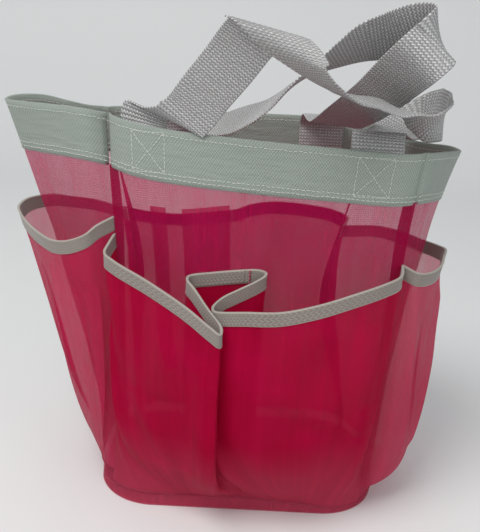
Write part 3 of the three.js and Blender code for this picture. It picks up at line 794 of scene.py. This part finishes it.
MESH = mesh_cloth("sheer_mesh", 0.46, rgb(0.42, 0.004, 0.075), rgb(0.56, 0.010, 0.110),
                  rgb(0.80, 0.020, 0.150))
POCKET_MESH = mesh_cloth("pocket_mesh", 0.80, rgb(0.40, 0.0005, 0.030), rgb(0.54, 0.001, 0.065),
                         rgb(0.80, 0.002, 0.090))
SIDE_MESH = mesh_cloth("side_mesh", 0.67, rgb(0.46, 0.008, 0.060), rgb(0.60, 0.018, 0.105),
                       rgb(0.88, 0.030, 0.150))
EDGE_MESH = mesh_cloth("edge_mesh", 0.38, rgb(0.52, 0.045, 0.105), rgb(0.64, 0.085, 0.165),
                       rgb(0.88, 0.140, 0.240))
SEAM = mesh_cloth("seam_mesh", 0.90, rgb(0.26, 0.001, 0.030), rgb(0.34, 0.003, 0.045),
                  rgb(0.48, 0.004, 0.060))
HEM = hem_cloth()
ELASTIC = elastic_knit()
WEBBING = webbing_weave()
THREAD = thread_fibre("pale_thread", rgb(0.54, 0.57, 0.52), rgb(0.38, 0.41, 0.37))
RED_THREAD = thread_fibre("red_thread", rgb(0.42, 0.03, 0.08), rgb(0.24, 0.01, 0.03))


# ---------------------------------------------------------------- walls and hem

panels = {}
for side in SIDES:
    columns, rows = 150, 110
    s, h = np.meshgrid(spread(columns, 0, 1), spread(rows, 0, 1))
    high = TOPS[side].even(s)[..., 2] - HEM_HEIGHT + PANEL_OVERLAP
    z = BASE_LIFT + h * (high - BASE_LIFT)
    width = TOPS[side].length
    panel = grid(f"cloth_{side}", draped_wall(side, s, z), np.stack([s * width, z], -1))
    finish_piece(panel, MESH, "bag", [f"panel_{side}"])

    hem = band(f"hem_band_{side}", wall_surface(side), TOPS[side].even, HEM_HEIGHT, HEM_HALF_THICKNESS,
               160, np.array([0, width]), bulge=0.25, pinch=HEM_PINCH)
    finish_piece(hem, HEM, "bag", [f"hem_{side}"])

    rows_of_thread = []
    for drop in (4.2, HEM_HEIGHT - 3.2, HEM_HEIGHT - 6.4):
        for way in (1, -1):
            at = spread(160, 0.004, 0.996)
            height = TOPS[side].even(at)[:, 2] - drop
            n = wall_outward(side, at, height) * way
            rows_of_thread.append((wall(side, at, height) + n * STITCH_STAND_OFF, n))
    stitches = thread(f"hem_stitches_{side}", rows_of_thread, STITCH_RADIUS, stitch=2.9, gap=0.7, wobble=0.4)
    finish_piece(stitches, THREAD, "bag")
    panels[side] = (panel, hem, stitches)

# ---------------------------------------------------------------- pockets and elastic

pocket_cloths = {}
for name in POCKET_SPAN:
    pocket = Pocket(name)
    at = pocket.t_even(spread(190, 0, 1))
    t, h = np.meshgrid(at, spread(90, 0, 1))
    high = pocket.mouth.at(t)[..., 2] - ELASTIC_HEIGHT + POCKET_OVERLAP
    low = foot_line(name, t)
    z = low + h * (high - low)
    run = np.linspace(0, pocket.mouth.length, 190)
    p = pocket.point(t, z)
    cloth = grid(f"pocket_cloth_{name}", p, np.stack([np.broadcast_to(run, t.shape), z], -1))
    finish_piece(cloth, SIDE_MESH if name in SIDES else POCKET_MESH, "bag", [f"pocket_{name}"])
    elastic = band(f"binding_{name}", pocket.plain, pocket.mouth.at, ELASTIC_HEIGHT,
                   ELASTIC_HALF_THICKNESS, 190, run, bulge=0.3, at=at)
    finish_piece(elastic, ELASTIC, "bag", [f"elastic_{name}"])
    pocket_cloths[name] = [cloth, elastic]

# Doubled cloth: the pleats taken in the back pockets. Then a dark sheet just inside each back elastic, which
# darkens the elastic where it is seen through the bag.
for label, (name, t0, t1, above) in TUCKS.items():
    pocket = Pocket(name)
    t, h = np.meshgrid(pocket.t_even(spread(30, t0, t1)), spread(80, 0, 1))
    high = pocket.mouth.at(t)[..., 2] + above
    z = TUCK_FOOT + h * (high - TUCK_FOOT)
    n = outward(pocket.plain, t, z)
    uv = np.stack([np.broadcast_to(spread(30, t0, t1) * pocket.mouth.length, t.shape), z], -1)
    tuck = grid(f"tuck_{label}", pocket.plain(t, z) - n * TUCK_DEPTH, uv)
    finish_piece(tuck, POCKET_MESH, "bag")
for name in PAIRS["back"]:
    pocket = Pocket(name)
    t, h = np.meshgrid(pocket.t_even(spread(120, 0.01, 0.99)), spread(6, 0, 1))
    z = pocket.mouth.at(t)[..., 2] - (ELASTIC_HEIGHT + 1) * (1 - h) - 0.2
    n = outward(pocket.plain, t, z)
    uv = np.stack([np.broadcast_to(spread(120, 0, pocket.mouth.length), t.shape), z], -1)
    dark_sheet = grid(f"lining_{name}", pocket.plain(t, z) - n * DARK_SHEET_DEPTH, uv)
    finish_piece(dark_sheet, SEAM, "bag")
    pocket_cloths[name].append(dark_sheet)

# ---------------------------------------------------------------- corner seams

SEAM_NAMES = {"front": "front_right", "right": "back_right", "back": "back_left", "left": "front_left"}
seams, skirts = {}, {}
for i, side in enumerate(SIDES):
    nxt = SIDES[(i + 1) % 4]
    x, h = np.meshgrid(spread(8, 0, 1), spread(90, 0, 1))
    high = TOPS[side].even(1.0)[2] - HEM_HEIGHT
    z = SEAM_FOOT + h * (high - SEAM_FOOT)
    inward = -(wall_outward(side, np.ones_like(z), z) + wall_outward(nxt, np.zeros_like(z), z))
    inward /= np.linalg.norm(inward, axis=-1, keepdims=True)
    lean = np.stack([-inward[..., 1], inward[..., 0], np.zeros_like(z)], -1)
    curl = x * x * SEAM_CURL * np.sin(z / 31 + i)
    p = wall(side, np.ones_like(z), z) + inward * (x * SEAM_WIDTH)[..., None] + lean * curl[..., None]
    seam = grid(f"seam_{SEAM_NAMES[side]}", p, np.stack([x * SEAM_WIDTH, z], -1))
    finish_piece(seam, SEAM, "bag", [f"corner_seam_{SEAM_NAMES[side]}"])
    seams[side] = seam

# ---------------------------------------------------------------- base

s = spread(60, 0, 1)[:-1]
outline = np.vstack([base_point(side, s) for side in SIDES])
rings = spread(30, 1, 0.02)
p = outline[None] * rings[:, None, None]
p[..., 2] = BASE_LIFT
uv = np.concatenate([p, p[:, :1]], 1)[..., :2] + 200
base = grid("base_cloth", p, uv, wrap=True)
finish_piece(base, POCKET_MESH, "bag", ["base_panel"])

# The turned-up edge round the foot of the walls, the rolled edge under it, and the pockets' lower seams.
for side in SIDES:
    s, h = np.meshgrid(spread(90, 0, 1), spread(6, 0, 1))
    z = SKIRT_FOOT + h * SKIRT_HEIGHT
    p = wall(side, s, z) + wall_outward(side, s, z) * SKIRT_STAND_OFF
    skirt = grid(f"skirt_{side}", p, np.stack([s * WALL_WIDTH[side], z], -1))
    finish_piece(skirt, EDGE_MESH, "bag")
    skirts[side] = skirt
piping = outline * (1 + 0.4 / 100)
piping[:, 2] = PIPING_RADIUS
edge = finish_piece(cord("base_piping", piping, PIPING_RADIUS, closed=True), EDGE_MESH, "bag")
for name in POCKET_SPAN:
    t = spread(120, 0.004, 0.996)
    path = Pocket(name).plain(t, foot_line(name, t))
    foot_cord = finish_piece(cord(f"pocket_foot_{name}", path, FOOT_RADIUS), SEAM, "bag")
    pocket_cloths[name].append(foot_cord)

# The red stitches that hold the paired pockets together and to the wall.
for which, pair in (("front", "front_left"), ("back", "back_right")):
    lip = Pocket(pair).mouth.at(np.array(1.0))
    centre = wall(which, 0.5, lip[2])
    out = wall_outward(which, 0.5, lip[2])
    z = spread(12, lip[2] - ELASTIC_HEIGHT - 1, lip[2] + 0.6)
    path = np.stack([np.full(12, centre[0]), np.full(12, lip[1]), z], 1) + out * 1.3
    tack = thread(f"tack_{which}", [(path, np.tile(out, (12, 1)))], TACK_RADIUS, stitch=2.4, gap=0.3)
    finish_piece(tack, RED_THREAD, "bag")

# ---------------------------------------------------------------- each pocket's mouth length, worked out and not kept

for side in SIDES:
    panel, *sewn_on = panels[side]
for name, (cloth, *sewn_on) in pocket_cloths.items():
    Pocket(name).mouth.length * MM

# ---------------------------------------------------------------- handles

def strap(name, path):
    """Woven webbing along a path of centres and width directions: both faces carry the raised cells."""
    cells = round(WEBBING_WIDTH / WEAVE_PITCH)
    pitch = WEBBING_WIDTH / cells
    c, half, face, run = ribbon(path, pitch / 3)
    count = cells * 3
    edge = np.linspace(-1, 1, count + 1)
    x = np.concatenate([edge, [1.012], edge[::-1], [-1.012]])
    up = np.concatenate([np.ones(count + 1), [0], -np.ones(count + 1), [0]])
    rounding = np.sqrt(np.clip(1 - (np.clip(np.abs(x) - 0.93, 0, 1) / 0.09) ** 2, 0.05, 1))
    u = (x + 1) / 2 * WEBBING_WIDTH
    uu, vv = np.meshgrid(u, run, indexing="xy")
    zigzag = vv + ZIGZAG_SLOPE * (pitch / 2 - np.abs(uu % pitch - pitch / 2))
    cell = (0.5 + 0.5 * np.cos(2 * np.pi * uu / pitch)) * (0.5 + 0.5 * np.cos(2 * np.pi * zigzag / pitch))
    off = up * rounding * (WEBBING_THICKNESS / 2) + up * (cell - 0.5) * WEAVE_DEPTH
    p = c[:, None] + half[:, None] * x[None, :, None] + face[:, None] * off[..., None]
    uv = np.stack([np.append(uu, uu[:, :1], 1), np.append(vv, vv[:, :1], 1)], -1)
    return grid(name, p, uv, wrap=True, caps=True), run[-1]


for which, hinge in (("front", (0.0015, -0.0535, 0.3065)), ("back", (-0.005, 0.070, 0.307))):
    ends, path = strap_path(which)
    handle, length = strap(f"strap_{which}", path)
    finish_piece(handle, WEBBING, None,
                 [f"handle_{which}"] + [f"webbing_end_{e}" for e in ends])
    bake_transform(handle)

# Crossed stitch boxes where the handles are sewn, on the hem's outer face.
for end, (side, s, _, _) in SEWN.items():
    curve = TOPS[side]

    def on_hem(x, y):
        at = s + x / curve.length
        z = curve.even(s)[2] - HEM_HEIGHT / 2 + 1 + y
        n = wall_outward(side, at, z)
        return wall(side, at, z) + n * (STITCH_STAND_OFF + 0.05), n

    w, h = STITCH_BOX_WIDTH / 2, STITCH_BOX_HEIGHT / 2
    lines = [((-w, -h), (w, -h)), ((w, -h), (w, h)), ((w, h), (-w, h)), ((-w, h), (-w, -h)),
             ((-w, -h), (w, h)), ((-w, h), (w, -h))]
    runs = []
    for a, b in lines:
        f = spread(24, 0, 1)
        runs.append(on_hem(a[0] + (b[0] - a[0]) * f, a[1] + (b[1] - a[1]) * f))
    box = thread(f"box_stitches_{end}", runs, STITCH_RADIUS, stitch=2.6, gap=0.5, wobble=0.3)
    finish_piece(box, THREAD, "bag", [f"stitch_box_{end}"])

# ---------------------------------------------------------------- camera, floor and light

CAMERA_PLACE = (-9, -632, 418)
CAMERA_PITCH = math.radians(20)
CAMERA_ROLL = math.radians(3)
LENS = 54.1

forward = np.array([0, math.cos(CAMERA_PITCH), -math.sin(CAMERA_PITCH)])
right = np.array([1.0, 0, 0])
up = np.cross(right, forward)
right_rolled = right * math.cos(CAMERA_ROLL) + up * math.sin(CAMERA_ROLL)
up_rolled = -right * math.sin(CAMERA_ROLL) + up * math.cos(CAMERA_ROLL)
camera_data = bpy.data.cameras.new("camera")
camera_data.lens = LENS
camera_data.sensor_width = 36
camera = bpy.data.objects.new("camera", camera_data)
bpy.context.scene.collection.objects.link(camera)
axes = np.stack([right_rolled, up_rolled, -forward], 1)
turned = np.eye(4)
turned[:3, :3] = axes
turned[:3, 3] = np.array(CAMERA_PLACE) * MM
camera.matrix_world = Matrix(turned.tolist())
bpy.context.scene.camera = camera

# A pale floor that bends up into the background, in mm.
BACKDROP_HALF_WIDTH = 3000
FLOOR_FRONT = -1800
FLOOR_DEPTH = 1500
FLOOR_BEND = 500
BACKDROP_TOP = 2600

x = spread(40, -BACKDROP_HALF_WIDTH, BACKDROP_HALF_WIDTH)
arc = spread(30, 0, math.pi / 2)[1:]
flat_end = FLOOR_DEPTH - FLOOR_BEND
profile = np.vstack([
    np.stack([spread(40, FLOOR_FRONT, flat_end), np.zeros(40)], 1),
    np.stack([flat_end + FLOOR_BEND * np.sin(arc), FLOOR_BEND - FLOOR_BEND * np.cos(arc)], 1),
    np.stack([np.full(20, FLOOR_DEPTH), spread(20, FLOOR_BEND + 50, BACKDROP_TOP)], 1),
])
xx, yy = np.meshgrid(x, profile[:, 0])
zz = np.meshgrid(x, profile[:, 1])[1]
p = np.stack([xx, yy, zz], -1)
backdrop = grid("backdrop", p, p[..., :2])
backdrop.data.materials.append(backdrop_paper())


def lamp(name, place, target, size, power, colour):
    """A round soft light at a place in metres, turned towards a target; power is in watts."""
    data = bpy.data.lights.new(name, "AREA")
    data.shape = "DISK"
    data.size = size
    data.energy = power
    data.color = colour
    obj = bpy.data.objects.new(name, data)
    bpy.context.scene.collection.objects.link(obj)
    away = np.array(place) - np.array(target)
    z = away / np.linalg.norm(away)
    x = np.cross([0, 0, 1], z)
    x /= np.linalg.norm(x)
    m = np.eye(4)
    m[:3, :3] = np.stack([x, np.cross(z, x), z], 1)
    m[:3, 3] = place
    obj.matrix_world = Matrix(m.tolist())


lamp("key", (-0.7, -0.85, 1.85), (0, 0, 0.15), 1.1, 28.5, (1.0, 0.99, 0.975))
lamp("fill", (1.5, -1.4, 1.2), (0, 0, 0.15), 1.6, 6, (0.95, 0.98, 1.0))
lamp("low", (0.05, -1.5, 0.5), (0, 0, 0.05), 1.2, 3.5, (1.0, 0.98, 0.97))
world = bpy.data.worlds.new("studio")
world.use_nodes = True
world.node_tree.nodes["Background"].inputs[0].default_value = (0.90, 0.93, 0.95, 1)
world.node_tree.nodes["Background"].inputs[1].default_value = 0.55
bpy.context.scene.world = world
bpy.context.scene.view_settings.view_transform = "Standard"
bpy.context.scene.cycles.transparent_max_bounces = 24
